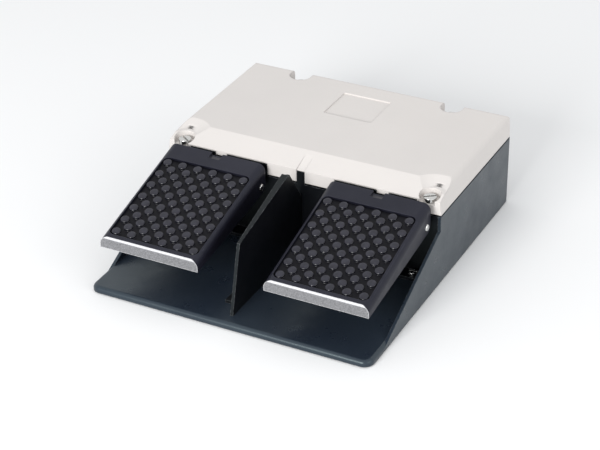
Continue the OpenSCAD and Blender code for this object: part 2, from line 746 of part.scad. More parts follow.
// Outline across the pedal, y = 0 on the tread plane
module pedal_across(inset, top) {
  half = pedal_w / 2 - inset;
  r = pedal_edge_r - inset;
  translate([-half, -deep]) square([2 * half, deep - top - r]);
  translate([-half + r, -deep]) square([2 * (half - r), deep - top]);
  for (x = [-1, 1]) translate([x * (half - r), -top - r]) circle(r);
}

module across_pedal(inset, top) on_tread() translate([0, -pedal_front - 20, 0])
  along_y(pedal_front + deep) pedal_across(inset, top);

module pedal_ribs() intersection() {
  along_x(pedal_w - 1) skirt_outline();
  on_tread() {
    top = -pedal_top_t + eps;
    for (side = [-1, 1]) translate([side * rib_x - rib_t / 2, -pedal_front, top - rib_h])
      cube([rib_t, (1 + rib_y[2] + 0.09) * pedal_front, rib_h]);
    for (part = rib_y) translate([-pedal_w / 2 + 1, part * pedal_front, top - rib_h])
      cube([pedal_w - 2, rib_t, rib_h]);
  }
}

// Lever between the bracket's ears: boss, nose, stop rib and its web
module pedal_lever() {
  along_x(lever_w) {
    circle(8);
    polygon([[-8, 0], [-1 - nose_r, -rod_drop], [-1 + nose_r, -rod_drop],
             [-1 + nose_r, -rod_drop + rod_head_d / 2 + 1], [8, 0]]);
    translate([-1, -rod_drop]) circle(nose_r);
    polygon([[stop_y - 7, -stop_rib_low], [0, -stop_rib_low], [6, 0],
             [6, tread_at(6, 2)], [stop_y - 7, tread_at(stop_y - 7, 2)]]);
  }
  // rest stops that meet the raised tabs, and the spring legs' seats
  for (x = [-26, 26]) translate([x, 0, 0]) along_x(3)
    polygon([[-6, 6], [axle_in - contact_gap, 5.5], [axle_in - contact_gap, 10],
             [pedal_back - 1, tread_at(pedal_back - 1, 2)], [-6, tread_at(-6, 2)]]);
  for (x = [0, 1]) mirror([x, 0, 0]) on_tread() {
    seat_low = spring_r + spring_wire / 2 + contact_gap - pedal_rise;
    translate([spring_leg_x - 3, -front_leg - 1, seat_low])
      cube([ear_in - gap - spring_leg_x + 3, 6, -seat_low - 2]);
  }
}

module pedal(side) color(pedal_black) at_axle(side) difference() {
  union() {
    difference() {
      intersection() {
        along_x(pedal_w) skirt_outline();
        across_pedal(0, 0);
      }
      intersection() {
        across_pedal(pedal_t, pedal_top_t);
        translate([-pedal_w, -pedal_front + pedal_t + 0.5, -deep])
          cube([2 * pedal_w, 2 * pedal_front, 2 * deep]);
      }
    }
    intersection() {
      along_x(pedal_w - pedal_t) skirt_outline();
      on_tread() translate([0, tread_s, -recess - under_mat])
        linear_extrude(height = recess + under_mat - 1) round_rect(mat_w + 3, mat_l + 3, mat_r + 1.5);
    }
    pedal_ribs();
    pedal_lever();
    for (x = [0, 1]) mirror([x, 0, 0])
      translate([bracket_w / 2 + bush_flange_t + gap, 0, 0])
        turned_x() square([boss_r, pedal_w / 2 - bracket_w / 2 - bush_flange_t - gap - 1]);
  }
  on_tread() translate([0, tread_s, -recess])
    linear_extrude(height = recess + 1) round_rect(mat_w + 2 * running, mat_l + 2 * running, mat_r);
  translate([-pedal_w, 0, 0]) turned_x() square([axle_d / 2, 2 * pedal_w]);
  // notch in the rear edge under the cover's tongue
  on_tread() along_x(tongue_w) polygon([[2, 1], [pedal_back + 2, -2.5], [20, -2.5], [20, 1]]);
}

module pip() rotate_extrude() {
  r = pip_d / 2;
  translate([0, -0.4]) square([r, pip_h - pip_edge_r + 0.4]);
  square([r - pip_edge_r, pip_h]);
  translate([r - pip_edge_r, pip_h - pip_edge_r]) circle(pip_edge_r);
}

module tread(side) color(rubber_black) at_axle(side) on_tread() translate([0, tread_s, -recess]) {
  linear_extrude(height = mat_t) round_rect(mat_w, mat_l, mat_r);
  for (row = [0:2 * long_rows - 2]) {
    count = pips_across - row % 2;
    for (i = [0:count - 1])
      translate([(i - (count - 1) / 2) * pip_pitch, (row - long_rows + 1) * pip_pitch / 2, mat_t]) pip();
  }
}

module axle(side) color(zinc) at_axle(side) {
  half = pedal_w / 2 + axle_end;
  chamfer = 0.7;
  translate([-half, 0, 0]) turned_x() polygon([
    [0, 0], [axle_d / 2 - chamfer, 0], [axle_d / 2, chamfer], [axle_d / 2, 2 * half - chamfer],
    [axle_d / 2 - chamfer, 2 * half], [0, 2 * half]]);
}

// ---------- Pushrod ----------

rod_front = -axle_in - 1 + nose_r + 0.15;
slider_reach = 6;
rod_back = sheet_t + block_in - slider_reach - 0.15;
bush_back = sheet_t + 11;
clip_t = 0.8;
seal_d = 1.5;
seal_y_in = sheet_t + 7;

module rod_bush() turned_y() difference() {
  union() {
    translate([0, -bracket_t + 0.2]) square([bush_d / 2, bush_back + bracket_t - 0.2]);
    translate([0, sheet_t]) square([9, 4]);
  }
  translate([0, -10]) square([rod_d / 2 + running, 40]);
  translate([0, seal_y_in - seal_d / 2]) square([rod_d / 2 + running + seal_d, seal_d]);
}

module rod_bushes() color(brass) for (side = [-1, 1]) at_rod(side) rod_bush();

module rod_seals() color(rubber_black) for (side = [-1, 1]) at_rod(side)
  translate([0, seal_y_in, 0]) turned_y()
    translate([rod_d / 2 + running + seal_d / 2, 0]) circle(d = seal_d);

module pushrod(side) color(zinc) at_rod(side) turned_y() {
  translate([0, rod_front]) {
    square([rod_head_d / 2 - 0.6, rod_head_t]);
    translate([0, 0.6]) square([rod_head_d / 2, rod_head_t - 1.2]);
  }
  translate([0, rod_front + 1]) square([rod_d / 2, rod_back - rod_front - 1]);
}

module rod_clip(side) color(zinc) at_rod(side) translate([0, bush_back + 0.1, 0])
  turned_y() translate([rod_d / 2, 0]) square([2.5, clip_t]);

// ---------- Switch blocks ----------

rail_top = floor_h + 7.5;
rail_w = 35;
rail_t = 1;
step_z = 30;
tower_w = 18;
tower_top = 49;
block_y = bulkhead_back + block_in;
slider_h = 13.6;
slider_l = 26;
slider_y = block_y + 2 + gap;
channel_l = 38;
bar_y = 14;
bar_t = 2;
bar_l = 24;
bar_h = 5;
stroke = rod_drop * travel * PI / 180;
button_d = 7;
strip_t = 1.5;
terminal_x = tower_w / 2 + 4.6;
terminal_d = 3.5;
terminal_y = [6, block_l - 6];

module mounting_rail() color(zinc) place() difference() {
  translate([0, rail_y, floor_h]) along_x(rail_l) {
    for (s = [-1, 1]) {
      translate([s > 0 ? 12.5 : -13.5, 0]) square([rail_t, 7.5]);
      translate([s > 0 ? 12.5 : -rail_w / 2, 7.5 - rail_t]) square([rail_w / 2 - 12.5, rail_t]);
    }
    translate([-13, 0]) square([26, rail_t]);
  }
  for (side = [-1, 1]) translate([side * rail_screw_x, rail_y, floor_h - 1])
    cylinder(d = rail_screw_d, h = 4);
}

module rail_screws() color(zinc) place() for (side = [-1, 1])
  translate([side * rail_screw_x, rail_y, floor_h + rail_t])
    slotted_screw(rail_screw_d, rail_t + sheet_t + 1, 9, 3);

module switch_block(side) color(switch_grey) place() translate([side * pedal_x, block_y, 0]) difference() {
  union() {
    translate([-block_w / 2, 0, rail_top]) cube([block_w, block_l, step_z - rail_top]);
    translate([-tower_w / 2, 0, rail_top]) cube([tower_w, block_l, tower_top - rail_top]);
    for (x = [-1, 1], y = [0, 1])
      translate([x * (block_w / 2 - 1), y * (block_l - 2), rail_top])
        translate([-1, 0, 0]) cube([2, 2, step_z + 6 - rail_top]);
    // claws round the rail's lips
    for (y = [0, 1]) translate([0, block_l / 2, 0]) mirror([0, y, 0]) translate([-6, rail_w / 2 + 0.2, 0]) {
      translate([0, 0, rail_top - 4]) cube([12, 2.5, 4.5]);
      translate([0, -2, rail_top - 4]) cube([12, 3, 4 - rail_t - 0.2]);
    }
  }
  translate([-channel_w / 2, 2, rod_z - slider_h / 2 - 0.2]) cube([channel_w, channel_l, 60]);
  translate([0, -1, rod_z]) turned_y() square([button_d / 2 + 2 * running, 5]);
  translate([-tower_w, 2 + gap + bar_y - 8, rod_z - bar_h / 2 - 1])
    cube([2 * tower_w, 18, bar_h + 2]);
  for (x = [-1, 1], y = terminal_y) translate([x * terminal_x, y, step_z - 8])
    cylinder(d = terminal_d, h = 10);
}

module switch_cap(side) color(slider_white) place() translate([side * pedal_x, block_y, tower_top]) {
  translate([-tower_w / 2 - 1.5, 0.5, 0]) cube([tower_w + 3, block_l - 1, 2]);
  translate([-channel_w / 2 + 0.1, 2.2, -4]) cube([channel_w - 0.2, channel_l - 0.4, 4 + eps]);
}

// Fixed contact: foot on the step under its terminal screw, and an upright tip
module fixed_contact(tip_y, from_y, to_y) difference() {
  union() {
    translate([tower_w / 2 + 0.8, from_y, step_z]) cube([terminal_x - tower_w / 2 + 2.4, to_y - from_y, strip_t]);
    translate([tower_w / 2 + 0.8, tip_y, step_z]) cube([2.6, strip_t, rod_z + bar_h / 2 + 0.5 - step_z]);
  }
  for (y = terminal_y) translate([terminal_x, y, step_z - 1]) cylinder(d = terminal_d, h = strip_t + 2);
}

module fixed_contacts(side) color(brass) place() translate([side * pedal_x, block_y, 0])
  for (x = [0, 1]) mirror([x, 0, 0]) {
    rest_y = 2 + gap + bar_y;
    make_y = rest_y + bar_t + stroke + contact_gap;
    fixed_contact(rest_y - contact_gap - strip_t, 2.5, rest_y - contact_gap);
    fixed_contact(make_y, make_y, block_l - 2.5);
  }

module terminal_screws() color(zinc) place() for (side = [-1, 1], x = [-1, 1], y = terminal_y)
  translate([side * pedal_x + x * terminal_x, block_y + y, step_z + strip_t])
    slotted_screw(terminal_d, 8.5, 6.2, 2.4);

module slider(side) color(slider_white) place() translate([side * pedal_x, slider_y, rod_z]) difference() {
  union() {
    translate([-channel_w / 2 + 0.3, 0, -slider_h / 2]) cube([channel_w - 0.6, slider_l, slider_h]);
    translate([0, -2 - gap - slider_reach, 0]) turned_y() square([button_d / 2, slider_reach + 4]);
  }
  translate([-channel_w, bar_y, -bar_h / 2]) cube([2 * channel_w, bar_t, bar_h]);
  translate([0, slider_l - 4, 0]) turned_y() square([4, 5]);
}

module contact_bridge(side) color(brass) place()
  translate([side * pedal_x - bar_l / 2, slider_y + bar_y, rod_z - bar_h / 2])
    cube([bar_l, bar_t, bar_h]);

module slider_spring(side) color(zinc) place() translate([side * pedal_x, slider_y + slider_l - 4 + 0.4, rod_z]) {
  turns = 5;
  n = 12 * turns;
  length = channel_l - gap - slider_l + 4 - 0.8;
  wire([for (i = [0:n]) [3 * cos(360 * turns * i / n), length * i / n, 3 * sin(360 * turns * i / n)]],
       0.7, [0, 1, 0]);
}

// ---------- Cable entry and earth ----------

module earth_terminal() color(brass) place() translate([earth_x, earth_y, 0]) {
  translate([0, 0, under_z]) cylinder(d = earth_d - 2 * running, h = 16);
  translate([0, 0, floor_h]) difference() {
    cylinder(d = 11, h = 1);
    translate([0, 0, -1]) cylinder(d = earth_d, h = 3);
  }
  translate([0, 0, floor_h + 1]) difference() {
    cylinder(d = 9.2, h = 4, $fn = 6);
    translate([0, 0, -1]) cylinder(d = earth_d, h = 6);
  }
}

module cable_entry() color(zinc) place() translate([0, base_d - entry_l, entry_z]) difference() {
  union() {
    turned_y() square([entry_bore_d / 2 + 2 - running, entry_l]);
    rotate([-90, 0, 0]) cylinder(d = entry_flange_d, h = entry_l - sheet_t, $fn = 6);
  }
  translate([0, -1, 0]) turned_y() square([entry_bore_d / 2, entry_l + 2]);
}

module hinge_bracket_left() hinge_bracket(-1);
module hinge_bracket_right() hinge_bracket(1);
module return_springs_left() return_springs(-1);
module return_springs_right() return_springs(1);
module switch_block_left() switch_block(-1);
module switch_block_right() switch_block(1);
module switch_cap_left() switch_cap(-1);
module switch_cap_right() switch_cap(1);
module fixed_contacts_left() fixed_contacts(-1);
module fixed_contacts_right() fixed_contacts(1);
module slider_spring_left() slider_spring(-1);
module slider_spring_right() slider_spring(1);
module pedal_left() pedal(-1);
module pedal_right() pedal(1);
module tread_left() tread(-1);
module tread_right() tread(1);
module axle_left() axle(-1);
module axle_right() axle(1);
module pushrod_left() pushrod(-1);
module pushrod_right() pushrod(1);
module rod_clip_left() rod_clip(-1);
module rod_clip_right() rod_clip(1);
module slider_left() slider(-1);
module slider_right() slider(1);
module contact_bridge_left() contact_bridge(-1);
module contact_bridge_right() contact_bridge(1);

base_tray();
bulkhead();
bulkhead_screws();
centre_divider();
divider_screws();
cover();
cover_gasket();
cover_screws();
rubber_feet();
hinge_bracket_left();
hinge_bracket_right();
bracket_screws();
bracket_nuts();
bearing_bushes();
stop_pads();
return_springs_left();
return_springs_right();
rod_bushes();
rod_seals();
mounting_rail();
rail_screws();
switch_block_left();
switch_block_right();
switch_cap_left();
switch_cap_right();
fixed_contacts_left();
fixed_contacts_right();
terminal_screws();
slider_spring_left();
slider_spring_right();
earth_terminal();
cable_entry();
pedal_left();
pedal_right();
tread_left();
tread_right();
axle_left();
axle_right();
pushrod_left();
pushrod_right();
rod_clip_left();
rod_clip_right();
slider_left();
slider_right();
contact_bridge_left();
contact_bridge_right();
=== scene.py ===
"""Studio picture of a two-pedal industrial foot switch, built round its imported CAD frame."""

import json
import math

import bmesh
import bpy
from mathutils import Matrix, Vector

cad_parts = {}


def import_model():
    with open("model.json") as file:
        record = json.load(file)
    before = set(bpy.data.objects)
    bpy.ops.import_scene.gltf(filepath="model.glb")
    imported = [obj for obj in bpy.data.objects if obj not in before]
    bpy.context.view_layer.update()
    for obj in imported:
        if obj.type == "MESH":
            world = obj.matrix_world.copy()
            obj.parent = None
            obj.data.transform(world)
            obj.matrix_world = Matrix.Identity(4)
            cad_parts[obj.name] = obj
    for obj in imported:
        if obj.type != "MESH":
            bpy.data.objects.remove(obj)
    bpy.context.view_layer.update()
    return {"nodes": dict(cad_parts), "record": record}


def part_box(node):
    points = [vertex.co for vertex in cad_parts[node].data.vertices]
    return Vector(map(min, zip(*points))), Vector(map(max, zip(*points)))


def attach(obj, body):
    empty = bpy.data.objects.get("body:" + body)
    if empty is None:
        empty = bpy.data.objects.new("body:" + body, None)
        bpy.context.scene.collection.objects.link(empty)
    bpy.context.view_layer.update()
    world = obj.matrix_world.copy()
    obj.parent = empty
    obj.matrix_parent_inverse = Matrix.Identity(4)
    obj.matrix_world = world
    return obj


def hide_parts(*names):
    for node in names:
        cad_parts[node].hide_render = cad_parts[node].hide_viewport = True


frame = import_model()
MM = 0.001


# ---------- Node materials ----------

class Shader:
    """A node material on a Principled surface, with object coordinates that ride with each piece."""

    def __init__(self, name):
        self.material = bpy.data.materials.new(name)
        self.material.use_nodes = True
        self.tree = self.material.node_tree
        self.surface = self.tree.nodes["Principled BSDF"]
        self.coords = self.tree.nodes.new("ShaderNodeTexCoord").outputs["Object"]

    def node(self, kind, values=None, **options):
        made = self.tree.nodes.new(kind)
        for key, value in options.items():
            setattr(made, key, value)
        for key, value in (values or {}).items():
            self.put(made.inputs[key], value)
        return made

    def put(self, socket, value):
        if isinstance(value, bpy.types.NodeSocket):
            self.tree.links.new(value, socket)
        elif hasattr(socket.default_value, "__len__") and not hasattr(value, "__len__"):
            socket.default_value = (value, value, value)
        else:
            socket.default_value = value

    def set(self, **values):
        for key, value in values.items():
            self.put(self.surface.inputs[key.replace("_", " ")], value)

    def noise(self, scale, detail=3.0, roughness=0.55, stretch=None, offset=(0, 0, 0)):
        mapping = self.node("ShaderNodeMapping", {"Vector": self.coords, "Location": offset,
                                                  "Scale": stretch or (1, 1, 1)})
        made = self.node("ShaderNodeTexNoise", {"Vector": mapping.outputs[0], "Scale": scale,
                                                "Detail": detail, "Roughness": roughness})
        return made.outputs["Fac"]

    def speckle(self, scale, stretch=None):
        mapping = self.node("ShaderNodeMapping", {"Vector": self.coords, "Scale": stretch or (1, 1, 1)})
        made = self.node("ShaderNodeTexVoronoi", {"Vector": mapping.outputs[0], "Scale": scale})
        return made.outputs["Distance"]

    def band(self, value, low, high, out_low=0.0, out_high=1.0):
        made = self.node("ShaderNodeMapRange", {"Value": value, "From Min": low, "From Max": high,
                                                "To Min": out_low, "To Max": out_high})
        return made.outputs[0]

    def mix(self, amount, a, b):
        made = self.node("ShaderNodeMix", data_type="RGBA")
        for socket, value in ((made.inputs[0], amount), (made.inputs[6], a), (made.inputs[7], b)):
            self.put(socket, value)
        return made.outputs[2]

    def maths(self, operation, a, b=0.0):
        made = self.node("ShaderNodeMath", operation=operation)
        self.put(made.inputs[0], a)
        self.put(made.inputs[1], b)
        return made.outputs[0]

    def relief(self, layers, edge=0.0):
        """layers: (height output, depth in metres); edge: the radius of a soft edge, in metres."""
        normal = None
        if edge:
            normal = self.node("ShaderNodeBevel", {"Radius": edge}, samples=6).outputs[0]
        for height, depth in layers:
            bump = self.node("ShaderNodeBump", {"Height": height, "Distance": depth, "Strength": 1.0})
            if normal is not None:
                self.put(bump.inputs["Normal"], normal)
            normal = bump.outputs[0]
        self.put(self.surface.inputs["Normal"], normal)

    def convex_edges(self, radius):
        """1 on convex edges, 0 elsewhere: how far a rounded normal leans from the true one."""
        soft = self.node("ShaderNodeBevel", {"Radius": radius}, samples=6).outputs[0]
        true = self.node("ShaderNodeNewGeometry").outputs["Normal"]
        dot = self.node("ShaderNodeVectorMath", operation="DOT_PRODUCT")
        self.put(dot.inputs[0], soft)
        self.put(dot.inputs[1], true)
        return self.band(dot.outputs["Value"], 0.99, 0.80)


def rgb(r, g, b):
    return (r, g, b, 1.0)


def enamel(name, low, high, rough, peel, edge, shine=0.5, wear_and_glint_amount=0.35):
    """Baked enamel: orange peel, fine grain, faint dust, and lighter convex edges that are part real wear and part
    painted glint.
    """
    s = Shader(name)
    tone = s.mix(s.band(s.noise(14, 4), 0.35, 0.7), low, high)
    dust = s.band(s.noise(420, 5, 0.7), 0.60, 0.78)
    tone = s.mix(s.maths("MULTIPLY", dust, 0.10), tone, rgb(0.20, 0.21, 0.22))
    # Lighter, speckled convex edges: part real wear, part a painted glint along the bends.
    edge_wear_and_glint = s.maths("MULTIPLY", s.convex_edges(0.8 * MM), s.band(s.noise(420, 4), 0.42, 0.62))
    s.set(Base_Color=s.mix(s.maths("MULTIPLY", edge_wear_and_glint, wear_and_glint_amount), tone, rgb(0.42, 0.44, 0.46)),
          Roughness=s.band(s.noise(60, 5), 0.3, 0.7, rough - 0.04, rough + 0.08))
    s.set(**{"Specular_IOR_Level": shine, "Specular_Tint": rgb(0.84, 1.0, 1.0)})
    s.relief([(s.noise(480, 2), peel), (s.speckle(1600), 0.3 * peel)], edge)
    return s.material


def cover_paint():
    s = Shader("cover_paint")
    tone = s.mix(s.band(s.noise(9, 4), 0.35, 0.65), rgb(0.700, 0.665, 0.640), rgb(0.728, 0.690, 0.662))
    dirt = s.band(s.noise(240, 5), 0.62, 0.80)
    s.set(Base_Color=s.mix(s.maths("MULTIPLY", dirt, 0.08), tone, rgb(0.45, 0.43, 0.40)),
          Roughness=s.band(s.noise(45, 4), 0.3, 0.7, 0.42, 0.52))
    s.set(**{"Specular_IOR_Level": 0.4})
    s.relief([(s.noise(330, 3), 0.05 * MM), (s.noise(30, 2), 0.05 * MM)], 0.9 * MM)
    return s.material


def pedal_plastic():
    """Black moulding with a spark-eroded grain; its front face is grey, part shoe scuffing and part painted light
    from the front, with a painted highlight on its rounded top rim.
    """
    s = Shader("pedal_plastic")
    tone = s.mix(s.band(s.noise(35, 5), 0.35, 0.7), rgb(0.009, 0.009, 0.016), rgb(0.015, 0.015, 0.024))
    normal = s.node("ShaderNodeSeparateXYZ")
    s.put(normal.inputs[0], s.node("ShaderNodeBevel", {"Radius": 0.9 * MM}, samples=6).outputs[0])
    place = s.node("ShaderNodeSeparateXYZ")
    s.put(place.inputs[0], s.coords)
    near_front = s.band(place.outputs["Y"], FRONT_FACE + 6 * MM, FRONT_FACE + 3 * MM)
    forward = s.maths("MULTIPLY", normal.outputs["Y"], -1.0)
    # Front-facing surfaces near the front edge are painted grey: part scuffing, part painted light from the front
    # lamp.
    scuffed_and_front_lit = s.maths("MULTIPLY", near_front, s.band(forward, 0.34, 0.46))
    flat = s.band(forward, 0.90, 0.975)
    fleck = s.band(s.noise(1300, 4, 0.7), 0.34, 0.66)
    # The front face's grey: part scuffed plastic, part painted light.
    face = s.mix(fleck, rgb(0.12, 0.12, 0.125), rgb(0.27, 0.27, 0.28))
    # rim: a painted highlight on the rounded top edge of the front face.
    rim = s.mix(s.band(s.noise(700, 4), 0.3, 0.7), rgb(0.58, 0.58, 0.60), rgb(0.78, 0.78, 0.80))
    # Lighter, bluish convex edges: part wear, part a painted highlight on the pedal's edges.
    edge_lightening = s.maths("MULTIPLY", s.convex_edges(0.6 * MM), s.band(s.noise(220, 4), 0.35, 0.65, 0.1, 0.5))
    tone = s.mix(edge_lightening, tone, rgb(0.10, 0.10, 0.13))
    s.set(Base_Color=s.mix(scuffed_and_front_lit, tone, s.mix(flat, rim, face)),
          Roughness=s.band(s.noise(90, 4), 0.3, 0.7, 0.38, 0.48))
    s.set(**{"Specular_IOR_Level": 0.30, "Specular_Tint": rgb(0.85, 0.90, 1.0)})
    s.relief([(s.noise(1400, 2), 0.022 * MM), (s.speckle(700), 0.012 * MM)], 0.5 * MM)
    return s.material


def moulding(name, low, high, rough, grain, edge, edge_lightening=0.2):
    """Moulded plastic with a spark-eroded grain and slightly polished edges."""
    s = Shader(name)
    rub = s.maths("MULTIPLY", s.convex_edges(0.6 * MM), edge_lightening)
    tone = s.mix(s.band(s.noise(35, 5), 0.35, 0.7), low, high)
    lighter = rgb(*[min(1.0, 2.2 * c + 0.03) for c in high[:3]])
    s.set(Base_Color=s.mix(rub, tone, lighter),
          Roughness=s.band(s.noise(90, 4), 0.3, 0.7, rough - 0.05, rough + 0.06))
    s.relief([(s.noise(1400, 2), grain), (s.speckle(700), 0.6 * grain)], edge)
    return s.material


def rubber(name, low, high, rough, grain, edge, shine=0.5):
    s = Shader(name)
    bloom = s.band(s.noise(55, 5), 0.5, 0.75)
    s.set(Base_Color=s.mix(s.maths("MULTIPLY", bloom, 0.5), low, high),
          Roughness=s.band(s.noise(150, 4), 0.3, 0.7, rough - 0.06, rough + 0.08))
    s.set(**{"Specular_IOR_Level": shine})
    s.relief([(s.noise(900, 3), grain)], edge)
    return s.material


def pip_rubber():
    """Slightly glossy pips whose colour falls to near black towards their feet as painted shade."""
    s = Shader("pip_rubber")
    height = s.node("ShaderNodeAttribute", attribute_name="pip_height").outputs["Fac"]
    top = s.mix(s.band(s.noise(260, 4), 0.4, 0.65), rgb(0.012, 0.012, 0.020), rgb(0.022, 0.022, 0.034))
    # Painted shade: near black at the pip's foot, rising to the top colour.
    s.set(Base_Color=s.mix(s.band(height, 0.3, 0.95), rgb(0.003, 0.003, 0.006), top),
          Roughness=s.band(height, 0.80, 1.0, 0.20, 0.42))
    s.set(**{"Specular_IOR_Level": 0.40})
    s.relief([(s.noise(1200, 3), 0.015 * MM)], 0.12 * MM)
    return s.material


def metal(name, low, high, rough, stretch, edge, scratch=0.02 * MM):
    """Plated or bare metal with fine drawn or turned lines."""
    s = Shader(name)
    lines = s.noise(900, 3, 0.6, stretch)
    stain = s.band(s.noise(120, 5), 0.45, 0.7)
    s.set(Base_Color=s.mix(stain, low, high), Metallic=1.0,
          Roughness=s.band(lines, 0.3, 0.7, rough - 0.06, rough + 0.10))
    s.relief([(lines, scratch)], edge)
    return s.material


FRONT_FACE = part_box("pedal_left")[0].y
looks = {
    "black_enamel": enamel("base_enamel", rgb(0.016, 0.023, 0.036), rgb(0.022, 0.031, 0.044), 0.30,
                           0.05 * MM, 0.6 * MM),
    "cover_enamel": cover_paint(),
    "pedal_moulding": pedal_plastic(),
    # The mat between the pips is far darker than the pip tops of the same rubber: painted shade between the pips.
    "tread_rubber": rubber("shaded_mat_rubber", rgb(0.002, 0.002, 0.004), rgb(0.004, 0.004, 0.007), 0.45,
                           0.02 * MM, 0.2 * MM, 0.15),
    "gasket_rubber": rubber("gasket_rubber", rgb(0.012, 0.012, 0.012), rgb(0.03, 0.03, 0.03), 0.6,
                            0.03 * MM, 0.2 * MM),
    "foot_rubber": rubber("foot_rubber", rgb(0.014, 0.014, 0.014), rgb(0.035, 0.035, 0.035), 0.65,
                          0.03 * MM, 0.4 * MM),
    "zinc_plate": metal("zinc_plate", rgb(0.50, 0.51, 0.52), rgb(0.60, 0.61, 0.60), 0.36, (1, 0.06, 0.06), 0.3 * MM),
    "steel_parts": metal("plated_steel", rgb(0.58, 0.58, 0.57), rgb(0.70, 0.70, 0.69), 0.24, (0.2, 0.2, 1), 0.3 * MM),
    "brass_parts": metal("brass", rgb(0.66, 0.48, 0.20), rgb(0.74, 0.58, 0.28), 0.27, (0.2, 1, 0.2), 0.2 * MM),
    "switch_moulding": moulding("switch_plastic", rgb(0.05, 0.05, 0.055), rgb(0.065, 0.065, 0.07), 0.45,
                                0.02 * MM, 0.3 * MM),
    "slider_moulding": moulding("slider_plastic", rgb(0.62, 0.61, 0.56), rgb(0.68, 0.67, 0.62), 0.4,
                                0.015 * MM, 0.3 * MM, 0.0),
}
pips = pip_rubber()
# A much darker copy of the base enamel: painted shade for the bulkhead and divider, which carry the same black paint
# as the tray.
painted_shade_enamel = enamel("painted_shade_enamel", rgb(0.0025, 0.0025, 0.004), rgb(0.004, 0.004, 0.006), 0.38,
                      0.03 * MM, 0.6 * MM, 0.28)

for part in frame["record"]["subparts"]:
    shown = frame["nodes"][part["node"]]
    shown.data.materials.clear()
    shown.data.materials.append(looks[part["material_slot"]])
# The bulkhead and divider get the darker enamel copy as painted shade.
for name in ("bulkhead", "centre_divider"):
    frame["nodes"][name].data.materials[0] = painted_shade_enamel


# ---------- Mesh building ----------

class Build:
    """Collects points and faces, then makes one mesh that stands for a CAD node."""

    def __init__(self):
        self.points, self.faces, self.values = [], [], []

    def ring(self, points, value=0.0):
        first = len(self.points)
        self.points += [Vector(p) for p in points]
        self.values += [value] * len(points)
        return list(range(first, len(self.points)))

    def strip(self, a, b, closed=True):
        n = len(a)
        for i in range(n if closed else n - 1):
            j = (i + 1) % n
            self.faces.append((a[i], a[j], b[j], b[i]))

    def cap(self, ring, flip=False):
        self.faces.append(tuple(reversed(ring)) if flip else tuple(ring))

    def lathe(self, profile, frame_matrix, sides, heights=None, caps=(True, True)):
        """profile: (radius, z) pairs turned about the z axis of frame_matrix."""
        rings = []
        for k, (radius, z) in enumerate(profile):
            turns = [2 * math.pi * i / sides for i in range(sides)]
            rings.append(self.ring([frame_matrix @ Vector((radius * math.cos(t), radius * math.sin(t), z))
                                    for t in turns], heights[k] if heights else 0.0))
        for a, b in zip(rings, rings[1:]):
            self.strip(a, b)
        if caps[0]:
            self.cap(rings[0], True)
        if caps[1]:
            self.cap(rings[-1])

    def sweep(self, path, radius, sides, ends=True):
        """A round wire along path."""
        rings = []
        side = None
        for i, p in enumerate(path):
            t = (path[min(i + 1, len(path) - 1)] - path[max(i - 1, 0)]).normalized()
            side = (side - t * side.dot(t)).normalized() if side else t.orthogonal().normalized()
            other = t.cross(side)
            rings.append(self.ring([p + radius * (math.cos(a) * side + math.sin(a) * other)
                                    for a in (2 * math.pi * k / sides for k in range(sides))]))
        for a, b in zip(rings, rings[1:]):
            self.strip(a, b)
        if ends:
            self.cap(rings[0], True)
            self.cap(rings[-1])

    def finish(self, name, material, body, node, attribute=None, angle=40):
        mesh = bpy.data.meshes.new(name)
        mesh.from_pydata(self.points, [], self.faces)
        if attribute:
            mesh.attributes.new(attribute, "FLOAT", "POINT").data.foreach_set("value", self.values)
        mesh.materials.append(material)
        made = bpy.data.objects.new(name, mesh)
        bpy.context.scene.collection.objects.link(made)
        mesh.shade_smooth() if hasattr(mesh, "shade_smooth") else None
        mesh.set_sharp_from_angle(angle=math.radians(angle))
        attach(made, body)
        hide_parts(node)
        return made


# ---------- Treads ----------

TILT = math.radians(14.5)
PIP_ROWS = 13
PIPS_LONG = 6


def round_rect(width, length, radius, z, steps=8):
    points = []
    for sx, sy, start in ((1, 1, 0), (-1, 1, 90), (-1, -1, 180), (1, -1, 270)):
        for i in range(steps + 1):
            a = math.radians(start + 90 * i / steps)
            points.append(Vector((sx * (width / 2 - radius) + radius * math.cos(a),
                                  sy * (length / 2 - radius) + radius * math.sin(a), z)))
    return points


